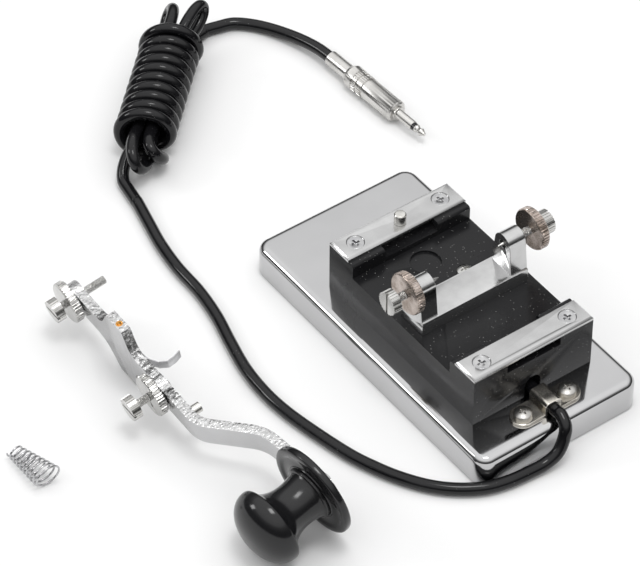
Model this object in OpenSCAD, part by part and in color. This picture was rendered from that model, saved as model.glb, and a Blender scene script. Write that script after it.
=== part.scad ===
// Straight telegraph key on a chromed base, shown taken down: the lever and its return spring lie
// beside the base, and the cord is tied up in a hank with its plug on the end.
// Origin: centre of the base's underside. +Z up, +Y towards the cord end, +X towards the lever.

/* [Base] */
// Width of the chromed base
base_w = 67.4; // [60:0.2:90]
// Length of the chromed base
base_l = 129.6; // [124:0.2:160]
// Height of the chromed base
base_h = 12.2; // [10:0.1:20]
// Upright corner radius of the base
base_corner_r = 5.5; // [5:0.5:14]
// Radius along the base's top edge
base_edge_r = 2.8; // [1:0.1:4]
// Wall of the cast base
base_wall = 4; // [3:0.5:6]
// Thickness of the rubber pad let into the underside
pad_t = 2; // [1:0.5:3]

/* [Insulating block] */
// Width of the black block
block_w = 50; // [46:0.5:56]
// Length of the black block
block_l = 80.3; // [78:0.1:84]
// Distance from the base's cord end to the block
block_margin = 16.45; // [14.6:0.05:20]
// Height of the deck above the base
deck_h = 14.2; // [12:0.1:18]
// Height of the two end towers above the base, under their plates
tower_h = 19.8; // [18:0.1:24]
// Depth of each tower
tower_d = 13.2; // [12:0.1:15]
// Width of the channel that runs through under each plate
channel_w = 22.4; // [16:0.2:26]
// Depth of that channel
channel_h = 3.5; // [2:0.1:4]
// Width of the arched cord notch
notch_w = 6.4; // [6:0.1:7]
// Height of the arched cord notch
notch_h = 8.2; // [7.6:0.1:9]
// Diameter of the spring seat in the deck
seat_d = 11; // [10.6:0.2:13]
// Distance from the pivot to the spring seat and the tension screw
spring_reach = 21.5; // [20:0.1:23]

/* [Plates and stud] */
// Depth of each chromed plate
plate_d = 10.6; // [9:0.1:11.5]
// Thickness of each plate
plate_t = 1.6; // [1.2:0.1:2.4]
// Distance between a plate's two screws
plate_pitch = 36; // [32:0.5:40]
// Diameter of the fixed contact's head
stud_d = 4.3; // [4:0.1:5]
// Height of the fixed contact above its plate
stud_h = 4.1; // [3.5:0.1:4.6]

/* [Bracket] */
// Outer width of the pivot bracket
bracket_w = 44.6; // [42:0.2:46]
// Thickness of each ear
ear_t = 6.8; // [5:0.1:8]
// Depth of the bracket's web along the key
web_d = 12.1; // [10:0.1:14]
// Height of the web above the deck
web_h = 5.6; // [4:0.1:7]
// Height of the pivot axis above the deck
axis_h = 16.6; // [15:0.1:19]
// Radius of the rounded top of each ear
ear_r = 4.1; // [3.6:0.1:5]

/* [Thumbscrews] */
// Thread diameter
thread_d = 3; // [2.6:0.1:3.2]
// Thread pitch
pitch = 0.5; // [0.4:0.05:0.7]
// Diameter of the knurled lock nuts
nut_d = 15.4; // [13:0.1:16]
// Thickness of the knurled lock nuts
nut_t = 3.2; // [2.4:0.1:4]
// Diameter of the knurled screw heads
head_d = 8.6; // [7:0.1:9.4]
// Thickness of the knurled screw heads
head_t = 3.3; // [2.5:0.1:4]
// Length of a pivot screw under its head
pivot_len = 18.1; // [17:0.1:19]
// Length of a lever screw under its head
lever_screw_len = 18.4; // [17:0.1:19]

/* [Lever] */
// Thickness of the cast bar
bar_t = 3.6; // [3.4:0.1:4]
// Half width of the bar's arms
arm_w = 4.4; // [3.6:0.1:5]
// Half width across the two pivot lugs
lug_w = 14.5; // [13.5:0.1:14.8]
// Distance from the pivot back to the gap screw
gap_reach = 31; // [29:0.1:33]
// Distance from the pivot to the moving contact
contact_reach = 36.2; // [35:0.1:38]
// Length of the moving contact under the bar
contact_len = 3.8; // [3:0.1:4.4]
// Distance from the pivot to the knob
knob_reach = 89; // [86:0.5:92]
// Lean of the knob away from the pivot
knob_lean = 6.9; // [4:0.1:9]

/* [Knob] */
// Diameter of the skirt
skirt_d = 34; // [33:0.2:36]
// Thickness of the skirt
skirt_t = 2.8; // [2.2:0.1:3.4]
// Diameter of the knob's rim
rim_d = 27.2; // [26.6:0.2:28]
// Height from the skirt to the rim's widest line
rim_h = 18.1; // [17.6:0.1:19]
// Height of the dome above the rim
dome_h = 8.8; // [7:0.1:10]
// Diameter of the neck at its narrowest
neck_d = 15.8; // [14:0.1:18]

/* [Return spring] */
// Wire diameter
wire_d = 0.7; // [0.5:0.05:0.8]
// Outer diameter of the large end
spring_big_d = 10.4; // [9:0.1:10.6]
// Outer diameter of the small end
spring_small_d = 5.6; // [5:0.1:7]
// Free length
spring_len = 20; // [16:0.5:22]
// Number of turns
spring_turns = 9; // [7:1:10]

/* [Cord and plug] */
// Diameter of the cord
cord_d = 4.5; // [4.2:0.1:4.6]
// Turns wound round the hank
hank_turns = 10; // [8:1:10]
// Diameter of the plug's shell
shell_d = 8.8; // [8:0.1:10]
// Length of the plug's shell
shell_l = 26.3; // [24:0.1:30]
// Diameter of the plug's pin
pin_d = 3.5; // [3.5:0.1:3.5]
// Length of the plug's pin
pin_l = 15.4; // [14:0.1:16]

/* [Hidden] */
$fn = 48;

// Small sizes that many pieces share
fit = 0.05;            // play of a shank in its hole
play = 0.1;            // play of a piece in its recess
thread_r = thread_d / 2;
hole_r = thread_r + fit;
screw_head_r = 3.1;    // countersunk and pan heads
screw_head_t = 2;
recess_t = 0.3;        // how far a plate screw sits below the plate
bevel = 0.7;

// Heights
deck_z = base_h + deck_h;
tower_z = base_h + tower_h;
plate_z = tower_z + plate_t;
axis_z = deck_z + axis_h;

// Places along the key
end_y = base_l / 2;
rear_y = end_y - block_margin;
front_y = rear_y - block_l;
block_y = (front_y + rear_y) / 2;
front_plate_y = front_y + plate_d / 2;
rear_plate_y = rear_y - plate_d / 2;
pivot_shift = 2.5;     // how far the pivot is from the block's middle
axis_y = block_y + pivot_shift;
seat_y = axis_y - spring_reach;
stud_y = axis_y - contact_reach;
duct_w = 7.8;          // wiring duct under the block
duct_h = 3.6;
duct_margin = 22;      // how far the cord runs into the block
duct_rear_y = rear_y - duct_margin;
clamp_gap = 6.9;       // from the block to the middle of the saddle
clamp_y = rear_y + clamp_gap;
clamp_pitch = 18.8;
clamp_d = 9;           // width of the saddle along the cord
clamp_t = 1;
cord_r = cord_d / 2;
cord_z = base_h + cord_r + play;
clamp_end_y = clamp_y + clamp_d / 2;
bracket_screw_x = 9;
block_screw_x = 20;
block_screw_dy = 34;
terminal_x = -7.5;
terminal_y = axis_y - web_d / 2 - 3.6;
terminal_r = 2.7;
bracket_head_r = 2.8;
bracket_head_t = 1.8;
thread_grip = 2;       // metal left over a bracket screw's end
block_screw_len = 11;
plate_screw_len = 8.5;
clamp_screw_len = 8.4;
clamp_head_t = 2.2;
terminal_len = 6;
small_nut_r = 3.15;    // nuts on the clamp screws and on the fixed contact
small_nut_t = 2.4;
stud_nut_t = 2.2;

// Wiring: the leads' radius and level, and their ring lugs
lead_r = 0.6;
lug_r = 2.9;
lug_t = 0.5;
lug_tail = 4.8;
lug_tail_w = 1.6;
lead_end = 3.95;       // from a lug's eye to the lead's end
lug_z = base_h + duct_h - lug_t;
lead_z = base_h + 1.6;

// Places of the four lock nuts along their screws
left_head_x = bracket_w / 2 + nut_t + 4.1;
right_nut_gap = 4.5;
right_head_x = bracket_w / 2 + right_nut_gap + nut_t + 1.7;

// The lever lies on its side: roll, pitch and heading, and where its pivot's centre is
lever_pose = [100.5, 0.2, 88.3];
lever_at = [99.4, -45.4, 14.65];

// Bar levels in the lever's own frame: x towards the knob, z up, pivot axis on y
bar_top = 1.7;
bar_low = bar_top - bar_t;
boss_t = 0.5;
boss_r = 5;
nut_seat = bar_top + boss_t;
knob_seat = -16.5;     // level of the bar's top under the knob
bend_start = 40;       // where the bar starts to bend down
bend_r1 = 13;
bend_r2 = 15;
bend_slope = 40;
bush_r = 1.25;
bush_l = 4;

// Cord route, chosen along the table and over the base's rear edge
run_route = [[0, clamp_end_y, cord_z], [0, clamp_end_y + 2, cord_z], [0, clamp_end_y + 4, cord_z],
  [0.9, end_y + 2.6, base_h + 0.4], [2.6, end_y + 4, 9], [5.8, end_y + 5, 5.2],
  [10.6, end_y + 4.8, 2.9], [17, end_y + 4.3, 2.3], [25, end_y + 3.5, 2.3], [33, end_y + 1.2, 2.3],
  [41, end_y - 3.9, 2.3], [47.5, 54.4, 2.3], [53, 46, 2.3], [57, 37.5, 2.3], [60.4, 28, 2.3],
  [63.6, 14, 2.3], [66, 0, 2.3], [66.6, -12, 2.3], [65.4, -25, 2.3], [62.4, -38, 2.3],
  [59, -51, 2.3], [57, -64, 2.3], [56.4, -78, 2.3], [54.6, -91, 2.3], [52, -102, 2.3],
  [49.4, -112.6, 2.3]];
tail_route = [[-27.6, -173.4, 2.3], [-33.4, -171.6, 2.3], [-38.6, -166.8, 2.3], [-42.6, -160.6, 2.6],
  [-45.6, -153.6, 3.2], [-47.8, -146.4, 3.9], [-49.2, -139.6, 4.35]];
hank_at = [33, -132.6];
hank_dir = [-0.721, -0.693];
hank_step = 5;         // lead of the wound turns
hank_ru = 8.9;         // mean radius of the wound turns, across and upright
hank_rv = 8.4;
hank_foot = 0.04;      // share by which the winding swells at its foot, and at its last turn
hank_swell = 0.11;
strand = 2.5;          // half the spacing of the four runs inside
plug_at = [-49.9, -132.9];
plug_yaw = 2.9;
sleeve_l = 11.4;
sleeve_r = 2.95;
plug_z = shell_d / 2;

// Vector helpers
function unit(v) = v / norm(v);
function bez(a, b, c, d, n) = [for (i = [0:n - 1]) let (t = i / n)
  a * pow(1 - t, 3) + 3 * b * t * pow(1 - t, 2) + 3 * c * t * t * (1 - t) + d * pow(t, 3)];
// Smooth curve through the points, k steps a span
function curve(p, k) = concat([for (i = [0:len(p) - 2]) let (
    a = p[max(i - 1, 0)], b = p[i], c = p[i + 1], d = p[min(i + 2, len(p) - 1)])
  for (j = [0:k - 1]) let (t = j / k)
    0.5 * (2 * b + (c - a) * t + (2 * a - 5 * b + 4 * c - d) * t * t
      + (3 * b - a - 3 * c + d) * t * t * t)], [p[len(p) - 1]]);
function tangents(p) = [for (i = [0:len(p) - 1])
  unit(p[min(i + 1, len(p) - 1)] - p[max(i - 1, 0)])];
// A frame carried along the path without twisting
function carry(t, i, u, out) = i >= len(t) ? out :
  let (v = unit(u - t[i] * (u * t[i]))) carry(t, i + 1, v, concat(out, [v]));

// A closed tube swept along a list of points
module tube(p, r, sides, first) {
  t = tangents(p);
  u = carry(t, 0, first, []);
  n = len(p);
  pts = [for (i = [0:n - 1]) let (v = cross(t[i], u[i])) for (s = [0:sides - 1])
    let (a = 360 * s / sides) p[i] + r * (u[i] * cos(a) + v * sin(a))];
  side_faces = [for (i = [0:n - 2], s = [0:sides - 1]) let (
      a = i * sides + s, b = i * sides + (s + 1) % sides) [a, a + sides, b + sides, b]];
  tri = [for (f = side_faces) each [[f[0], f[1], f[2]], [f[0], f[2], f[3]]]];
  caps = [for (s = [1:sides - 2]) each [[0, s, s + 1],
    [(n - 1) * sides, (n - 1) * sides + s + 1, (n - 1) * sides + s]]];
  polyhedron(points = pts, faces = concat(tri, caps));
}

// The least gap between two stretches of one tube
function least_gap(p, d, skip) = min([for (i = [0:len(p) - 1], j = [i + skip:1:len(p) - 1])
  norm(p[i] - p[j])]) - d;

// Round-cornered plan outline
module round_plan(w, l, r) {
  square([w - 2 * r, l], center = true);
  square([w, l - 2 * r], center = true);
  for (x = [-1, 1], y = [-1, 1]) translate([x * (w / 2 - r), y * (l / 2 - r)]) circle(r);
}

// Toothed disc outline, for knurled rims
module toothed(r, n, depth) {
  polygon([for (i = [0:n - 1], s = [0:3]) let (
    a = 360 * (i + [0, 0.5, 0.62, 0.88][s]) / n, q = s < 2 ? r : r - depth) [q * cos(a), q * sin(a)]]);
}

// Knurled lock nut standing on z = 0
module lock_nut() difference() {
  intersection() {
    linear_extrude(nut_t) toothed(nut_d / 2, 44, 0.3);
    cylinder(r = nut_d / 2, h = nut_t, $fn = 96);
    union() {
      cylinder(r1 = nut_d / 2 - 0.4, r2 = nut_d / 2 + 1, h = nut_t / 2 + 0.2);
      translate([0, 0, nut_t / 2]) cylinder(r1 = nut_d / 2 + 1, r2 = nut_d / 2 - 0.4, h = nut_t / 2);
    }
  }
  translate([0, 0, -1]) cylinder(r = hole_r, h = nut_t + 2);
}

// Ringed shank of a thread, from z = 0 up
module thread_shank(length) {
  n = floor(length / pitch);
  rotate_extrude() polygon(concat([[0, 0]], [for (i = [0:n - 1]) each
    [[thread_r - 0.22, i * pitch], [thread_r, (i + 0.4) * pitch], [thread_r, (i + 0.6) * pitch]]],
    [[thread_r - 0.22, n * pitch], [thread_r - 0.22, length], [0, length]]));
}

// Knurled thumbscrew: its head stands on z = 0 upwards, its shank hangs below
module thumbscrew(shank, cone) {
  difference() {
    linear_extrude(head_t) toothed(head_d / 2, 26, 0.28);
    translate([-head_d, -0.45, head_t - 0.8]) cube([2 * head_d, 0.9, 2]);
  }
  translate([0, 0, -shank + cone]) thread_shank(shank - cone);
  if (cone > 0) translate([0, 0, -shank]) cylinder(r1 = 0.15, r2 = thread_r - 0.22, h = cone);
}

// Cross recess cut in a screw head
module cross_recess(depth) for (a = [0, 90]) rotate(a) translate([-1.5, -0.35, -depth])
  cube([3, 0.7, depth + 1]);

// Countersunk screw, head up, top face at z = 0
module countersunk(length) difference() {
  union() {
    translate([0, 0, -screw_head_t]) cylinder(r1 = thread_r, r2 = screw_head_r, h = screw_head_t);
    translate([0, 0, -length]) cylinder(r = thread_r, h = length - 0.5);
  }
  cross_recess(1.1);
}

// Pan-head screw, head standing on z = 0, shank below
module pan_screw(r, h, length) {
  difference() {
    intersection() {
      cylinder(r = r, h = h);
      translate([0, 0, h - 1.9 * r]) sphere(r = 1.9 * r, $fn = 64);
    }
    translate([0, 0, h]) cross_recess(0.9);
  }
  translate([0, 0, -length]) cylinder(r = thread_r, h = length + 0.2);
}

module hex_nut(r, h) difference() {
  cylinder(r = r, h = h, $fn = 6);
  translate([0, 0, -1]) cylinder(r = hole_r, h = h + 2);
}

module at_block_screws() for (x = [-1, 1], y = [-1, 1])
  translate([x * block_screw_x, block_y + y * block_screw_dy, 0]) children();
module at_clamp_screws() for (x = [-1, 1]) translate([x * clamp_pitch / 2, clamp_y, 0]) children();
module at_plate_screws() for (x = [-1, 1], y = [front_plate_y, rear_plate_y])
  translate([x * plate_pitch / 2, y, plate_z - recess_t]) children();
module at_bracket_screws() for (x = [-1, 1])
  translate([x * bracket_screw_x, axis_y, base_h]) children();

// The lever's own frame, and the knob's inside it
module in_lever() translate(lever_at) rotate(lever_pose) children();
module in_knob() in_lever() translate([knob_reach, 0, knob_seat]) rotate([0, knob_lean, 0]) children();
module in_plug() translate([plug_at[0], plug_at[1], plug_z]) rotate([0, 0, plug_yaw])
  rotate([-90, 0, 0]) children();

module base_shell() color("gainsboro") difference() {
  hull() for (x = [-1, 1], y = [-1, 1])
    translate([x * (base_w / 2 - base_corner_r), y * (base_l / 2 - base_corner_r), 0]) {
      cylinder(r = base_corner_r, h = base_h - base_edge_r, $fn = 48);
      for (a = [0:15:90])
        cylinder(r = base_corner_r - base_edge_r * (1 - cos(a)),
          h = base_h - base_edge_r * (1 - sin(a)), $fn = 48);
    }
  translate([0, 0, -1]) linear_extrude(base_h - base_wall + 1)
    round_plan(base_w - 2 * base_wall, base_l - 2 * base_wall, base_corner_r - base_wall);
  at_block_screws() translate([0, 0, -1]) cylinder(r = hole_r, h = base_h + 2);
  at_clamp_screws() translate([0, 0, -1]) cylinder(r = hole_r, h = base_h + 2);
}

module base_pad() color("dimgray") linear_extrude(pad_t)
  round_plan(base_w - 2 * base_wall - 2 * play, base_l - 2 * base_wall - 2 * play,
    base_corner_r - base_wall);

module block_screws() color("silver") at_block_screws()
  translate([0, 0, base_h - base_wall]) mirror([0, 0, 1])
    pan_screw(screw_head_r, screw_head_t, block_screw_len);

module tower(y) translate([-block_w / 2, y, base_h]) cube([block_w, tower_d, tower_h]);

module insulator_block() color([0.09, 0.09, 0.09]) difference() {
  union() {
    translate([-block_w / 2, front_y, base_h]) cube([block_w, block_l, deck_h]);
    tower(front_y);
    tower(rear_y - tower_d);
  }
  for (y = [front_y - 1, rear_y - tower_d - 1])
    translate([-channel_w / 2, y, tower_z - channel_h]) cube([channel_w, tower_d + 2, channel_h + 1]);
  // bevels down the inner edge of each tower's top
  for (y = [front_y + tower_d, rear_y - tower_d]) translate([-block_w / 2 - 1, y, tower_z])
    rotate([45, 0, 0]) translate([0, -0.5, -0.5]) cube([block_w + 2, 1, 1]);
  // arched cord notch, and the duct that the leads run in
  translate([0, duct_rear_y, base_h]) rotate([-90, 0, 0]) {
    translate([0, -(notch_h - notch_w / 2), 0]) cylinder(r = notch_w / 2, h = duct_margin + 1);
    translate([-notch_w / 2, -(notch_h - notch_w / 2), 0]) cube([notch_w, notch_h, duct_margin + 1]);
  }
  translate([-duct_w / 2, stud_y - 4.2, base_h - 1])
    cube([duct_w, duct_rear_y - stud_y + 4.7, duct_h + 1]);
  translate([0, axis_y - duct_w / 2, base_h - 1]) cube([bracket_screw_x, duct_w, duct_h + 1]);
  // pockets under the bracket's screws, one of them deeper for the lead's lug
  at_bracket_screws() {
    translate([0, 0, -1]) cylinder(r = duct_w / 2, h = duct_h - lug_t + 1);
    cylinder(r = hole_r, h = deck_h + 2);
  }
  translate([bracket_screw_x, axis_y, base_h]) cylinder(r = lug_r + play, h = duct_h);
  translate([0, seat_y, deck_z - 0.9]) cylinder(r = seat_d / 2, h = 2);
  translate([0, stud_y, 0]) cylinder(r = hole_r, h = plate_z);
  translate([terminal_x, terminal_y, deck_z - terminal_len - 1])
    cylinder(r = hole_r, h = terminal_len + 2);
  plate_holes();
  at_block_screws() cylinder(r = hole_r, h = base_h - base_wall + block_screw_len + 1);
}

// Plate with bevelled edges, centred on y
module plate(y) translate([0, y, tower_z]) {
  linear_extrude(plate_t - bevel) square([block_w, plate_d], center = true);
  translate([0, 0, plate_t - bevel]) intersection() {
    rotate([90, 0, 0]) linear_extrude(plate_d, center = true) polygon([
      [-block_w / 2, 0], [block_w / 2, 0], [block_w / 2 - bevel, bevel], [-block_w / 2 + bevel, bevel]]);
    rotate([90, 0, 90]) linear_extrude(block_w, center = true) polygon([
      [-plate_d / 2, 0], [plate_d / 2, 0], [plate_d / 2 - bevel, bevel], [-plate_d / 2 + bevel, bevel]]);
  }
}

module plate_holes() at_plate_screws() {
  translate([0, 0, -screw_head_t - 0.1])
    cylinder(r1 = thread_r + 0.1, r2 = screw_head_r + 0.1, h = screw_head_t + 0.1);
  cylinder(r = screw_head_r + 0.15, h = 2);
  translate([0, 0, -plate_screw_len - 0.5]) cylinder(r = hole_r, h = plate_screw_len);
}

module front_contact_plate() color("lightgray") difference() {
  plate(front_plate_y);
  plate_holes();
  translate([0, stud_y, 0]) cylinder(r = hole_r, h = plate_z + 1);
}

module rear_stop_plate() color("lightgray") difference() {
  plate(rear_plate_y);
  plate_holes();
}

module plate_screws() color("silver") at_plate_screws() countersunk(plate_screw_len);

module contact_stud() color([0.85, 0.8, 0.72]) translate([0, stud_y, plate_z]) {
  cylinder(r = stud_d / 2, h = stud_h - 0.4);
  translate([0, 0, stud_h - 0.4]) cylinder(r1 = stud_d / 2, r2 = stud_d / 2 - 0.4, h = 0.4);
  translate([0, 0, base_h + 0.6 - plate_z]) cylinder(r = thread_r, h = plate_z - base_h - 0.5);
}

module stud_nut() color("silver") translate([0, stud_y, lug_z - stud_nut_t])
  hex_nut(small_nut_r, stud_nut_t);

// One ear: a wedge that narrows up to a round top over the pivot bore
module ear() rotate([90, 0, 90]) linear_extrude(ear_t) {
  lean = asin((web_d / 2 - ear_r) / axis_h) + 0.01;
  polygon([[-web_d / 2, 0], [web_d / 2, 0], [ear_r * cos(lean), axis_h + ear_r * sin(lean)],
    [-ear_r * cos(lean), axis_h + ear_r * sin(lean)]]);
  translate([0, axis_h]) circle(ear_r);
}

module bracket() color("gainsboro") translate([0, axis_y, deck_z]) difference() {
  union() {
    translate([-bracket_w / 2, -web_d / 2, 0]) cube([bracket_w, web_d, web_h]);
    translate([bracket_w / 2 - ear_t, 0, 0]) ear();
    translate([-bracket_w / 2, 0, 0]) ear();
  }
  translate([-bracket_w, 0, axis_h]) rotate([0, 90, 0]) cylinder(r = hole_r, h = 2 * bracket_w);
  for (x = [-1, 1]) translate([x * bracket_screw_x, 0, -1]) cylinder(r = hole_r, h = web_h - 0.4);
}

module bracket_screws() color("silver") at_bracket_screws() translate([0, 0, duct_h - lug_t])
  mirror([0, 0, 1])
    pan_screw(bracket_head_r, bracket_head_t, deck_h - duct_h + lug_t + web_h - thread_grip);

module leaf_terminal() color("silver") translate([terminal_x, terminal_y, deck_z])
  pan_screw(terminal_r, screw_head_t, terminal_len);

// Insulated lead with a ring lug at its far end, whose tail points to the given heading
module lead(route, eye, heading) {
  tube(curve(route, 3), lead_r, 8, [0, 0, 1]);
  translate(eye) difference() {
    union() {
      cylinder(r = lug_r, h = lug_t);
      rotate(heading) translate([0, -lug_tail_w / 2, 0]) cube([lug_tail, lug_tail_w, lug_t]);
    }
    translate([0, 0, -1]) cylinder(r = hole_r + 0.1, h = 3);
  }
}

lead_start_y = duct_rear_y - play;
module contact_lead() color("firebrick") lead([[-0.9, lead_start_y, cord_z],
  [-0.9, lead_start_y - 2, cord_z], [-2.2, duct_rear_y - 8, lead_z], [-2.9, axis_y, lead_z],
  [-2.9, seat_y, lead_z], [-2, stud_y + 9, lead_z], [-0.6, stud_y + lead_end + 2, lead_z + 0.6],
  [0, stud_y + lead_end, lug_z - 0.2]], [0, stud_y, lug_z], 90);

module bracket_lead() color("ivory") lead([[0.9, lead_start_y, cord_z],
  [0.9, lead_start_y - 2, cord_z], [1.8, duct_rear_y - 6, lead_z], [2.4, axis_y + 5.4, lead_z],
  [3, axis_y + 1.7, lead_z + 0.1], [4, axis_y + 0.4, lead_z + 0.7],
  [bracket_screw_x - lead_end, axis_y, lug_z - 0.2]], [bracket_screw_x, axis_y, lug_z], 180);

// Nickelled saddle over the cord
hump_w = cord_d + 2 * play + 2 * clamp_t;
hump_h = cord_d + 2 * play + clamp_t;
module cord_clamp() color([0.8, 0.76, 0.68]) translate([0, clamp_y, base_h]) difference() {
  union() {
    rotate([90, 0, 0]) linear_extrude(clamp_d, center = true) {
      square([clamp_pitch, 2 * clamp_t], center = true);
      translate([-hump_w / 2, 0]) square([hump_w, hump_h - 1.6]);
      translate([-hump_w / 2 + 1.6, 0]) square([hump_w - 3.2, hump_h]);
      for (x = [-1, 1]) translate([x * (hump_w / 2 - 1.6), hump_h - 1.6]) circle(1.6);
    }
    for (x = [-1, 1]) translate([x * clamp_pitch / 2, 0, 0]) cylinder(r = clamp_d / 2, h = clamp_t);
  }
  translate([-40, -20, -5]) cube([80, 40, 5]);
  translate([-cord_r - play, -20, -1]) cube([cord_d + 2 * play, 40, cord_r + play + 1]);
  translate([0, 20, cord_r + play]) rotate([90, 0, 0]) cylinder(r = cord_r + play, h = 40);
  for (x = [-1, 1]) translate([x * clamp_pitch / 2, 0, -1]) cylinder(r = hole_r, h = 4);
}

module clamp_screws() color("gainsboro") at_clamp_screws() translate([0, 0, base_h + clamp_t])
  pan_screw(screw_head_r, clamp_head_t, clamp_screw_len);

module clamp_nuts() color("silver") at_clamp_screws()
  translate([0, 0, base_h - base_wall - small_nut_t]) hex_nut(small_nut_r, small_nut_t);

module cord_inner() color([0.08, 0.08, 0.08]) translate([0, duct_rear_y, cord_z])
  rotate([-90, 0, 0]) cylinder(r = cord_r, h = clamp_end_y - duct_rear_y);

// Hank: four runs inside, folded over at both ends, then wound round from the foot to the top.
// Own frame: along the hank, across it, and up from its middle.
hank_mid = hank_rv + cord_r + fit;
hank_side = [-hank_dir[1], hank_dir[0]];
function hank_world(q) = [hank_at[0] + hank_dir[0] * q[0] - hank_side[0] * q[1],
  hank_at[1] + hank_dir[1] * q[0] - hank_side[1] * q[1], hank_mid + q[2]];
hank_l = hank_turns * hank_step + 1;
hank_first = -90;      // angles at which the winding starts and ends
wind_angle = 360 * hank_turns - 70;
// the winding swells a little at its foot and more at its last turn
function swell(a) = let (t = a / wind_angle) 1 + hank_foot * max(0, 1 - 9 * t)
  + hank_swell * max(0, min(1, 8 * t - 7));
function wound(a) = [hank_step * a / 360, hank_ru * swell(a) * cos(hank_first - a),
  hank_rv * sin(hank_first - a) + hank_rv * (swell(a) - 1) * (1 + sin(hank_first - a))];
function run_up(y, z) = [for (i = [0:5]) [hank_l * i / 6, y, z]];
function run_down(y, z) = [for (i = [0:5]) [hank_l * (1 - i / 6), y, z]];
hank_path = concat(
  [[-21, -0.5, -hank_rv]],
  bez([-17, -3.5, -hank_rv], [-13, -6.5, -hank_rv], [-8, -5.5, -strand], [0, -strand, -strand], 8),
  run_up(-strand, -strand),
  bez([hank_l, -strand, -strand], [hank_l + 21, -10, -9], [hank_l + 21, 1, 12],
    [hank_l, -strand, strand], 14),
  run_down(-strand, strand),
  bez([0, -strand, strand], [-20, -3.5, 10], [-20, 4.5, -10], [0, strand, -strand], 14),
  run_up(strand, -strand),
  bez([hank_l, strand, -strand], [hank_l + 22, 12, -3], [hank_l + 22, 8, 14],
    [hank_l, strand, strand], 14),
  run_down(strand, strand),
  bez([0, strand, strand], [-19, strand, 6], wound(0) - 16 * unit(wound(3) - wound(0)), wound(0), 14),
  [for (a = [0:15:wind_angle - 1]) wound(a)],
  bez(wound(wind_angle), wound(wind_angle) + 6 * unit(wound(wind_angle) - wound(wind_angle - 3)),
    [hank_l + 5, 1.6, -hank_rv], [hank_l + 11.5, 4.4, -hank_rv], 8),
  [[hank_l + 11.5, 4.4, -hank_rv], [hank_l + 15, 6.6, -hank_rv]]);
hank_points = [for (q = hank_path) hank_world(q)];
module cord_hank() color([0.08, 0.08, 0.08]) tube(hank_points, cord_r, 6, [0, 0, 1]);

// The free stretches run straight where they meet the hank
hank_in = hank_points[0];
hank_in_dir = unit(hank_points[1] - hank_in);
hank_out = hank_points[len(hank_points) - 1];
hank_out_dir = unit(hank_out - hank_points[len(hank_points) - 2]);
plug_entry = [plug_at[0], plug_at[1], plug_z];
module cord_run() color([0.08, 0.08, 0.08]) tube(curve(
  concat(run_route, [for (d = [4, 2, 0]) hank_in - d * hank_in_dir]), 3), cord_r, 10, [1, 0, 0]);
module cord_tail() color([0.08, 0.08, 0.08]) tube(curve(concat(
  [for (d = [0, 2, 4]) hank_out + d * hank_out_dir], tail_route, [plug_entry]), 3), cord_r, 10, [0, 0, 1]);

module plug_sleeve() color("silver") in_plug() difference() {
  cylinder(r = sleeve_r, h = sleeve_l);
  translate([0, 0, -1]) cylinder(r = cord_r, h = 3);
}

// Shell with two knurled bands behind its waist
module plug_shell() color("silver") in_plug() translate([0, 0, sleeve_l]) {
  cylinder(r1 = shell_d / 2 - 0.6, r2 = shell_d / 2, h = 1.2);
  translate([0, 0, 1.2]) cylinder(r = shell_d / 2, h = 3);
  for (z = [4.2, 7.4]) translate([0, 0, z]) {
    linear_extrude(2.2) toothed(shell_d / 2 - 0.1, 30, 0.3);
    translate([0, 0, 2.2]) cylinder(r = shell_d / 2 - 0.6, h = 1);
  }
  translate([0, 0, 10.6]) cylinder(r = shell_d / 2 - 0.2, h = shell_l - 11.4);
  translate([0, 0, shell_l - 0.8]) cylinder(r1 = shell_d / 2 - 0.2, r2 = shell_d / 2 - 0.9, h = 0.8);
}

pin_r = pin_d / 2;
ring_at = pin_l - 6.2;
module plug_shaft() color("gainsboro") in_plug() translate([0, 0, sleeve_l + shell_l]) {
  cylinder(r = pin_r + 0.9, h = 1);
  cylinder(r = pin_r, h = ring_at);
}
ring_r = pin_r - 0.25;
ring_l = 1.4;
module plug_ring() color([0.05, 0.05, 0.05]) in_plug() translate([0, 0, sleeve_l + shell_l + ring_at])
  cylinder(r = ring_r, h = ring_l);
module plug_tip() color("gainsboro") in_plug() translate([0, 0, sleeve_l + shell_l + ring_at + ring_l])
  rotate_extrude() polygon([[0, 0], [ring_r, 0], [ring_r, 0.5], [ring_r - 0.5, 1.5],
    [ring_r, 2.8], [0.5, pin_l - ring_at - ring_l - 0.1], [0, pin_l - ring_at - ring_l]]);

module on_left() translate([0, axis_y, axis_z]) rotate([0, 90, 0]) children();
module on_right() translate([0, axis_y, axis_z]) rotate([0, -90, 0]) children();
module left_pivot_nut() color([0.7, 0.64, 0.6]) on_left()
  translate([0, 0, bracket_w / 2 + fit]) lock_nut();
module left_pivot_screw() color("gainsboro") on_left()
  translate([0, 0, left_head_x]) thumbscrew(pivot_len, 4);
module right_pivot_nut() color([0.62, 0.56, 0.5]) on_right()
  translate([0, 0, bracket_w / 2 + right_nut_gap]) lock_nut();
module right_pivot_screw() color("gainsboro") on_right()
  translate([0, 0, right_head_x]) thumbscrew(pivot_len, 4);

// Brass bushes with cone seats, in the ends of the lever's lugs
module pivot_bushes() color("goldenrod") in_lever() for (s = [-1, 1]) rotate([-90 * s, 0, 0])
  translate([0, 0, lug_w - bush_l]) difference() {
    cylinder(r = bush_r, h = bush_l - fit);
    translate([0, 0, bush_l - 0.9]) cylinder(r1 = 0.1, r2 = 0.95, h = 0.9);
  }

// Side outline of the bar: straight, then an S down to the knob
function arc2(c, r, a0, a1, n) = [for (i = [0:n]) let (a = a0 + (a1 - a0) * i / n)
  [c[0] + r * cos(a), c[1] + r * sin(a)]];
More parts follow.
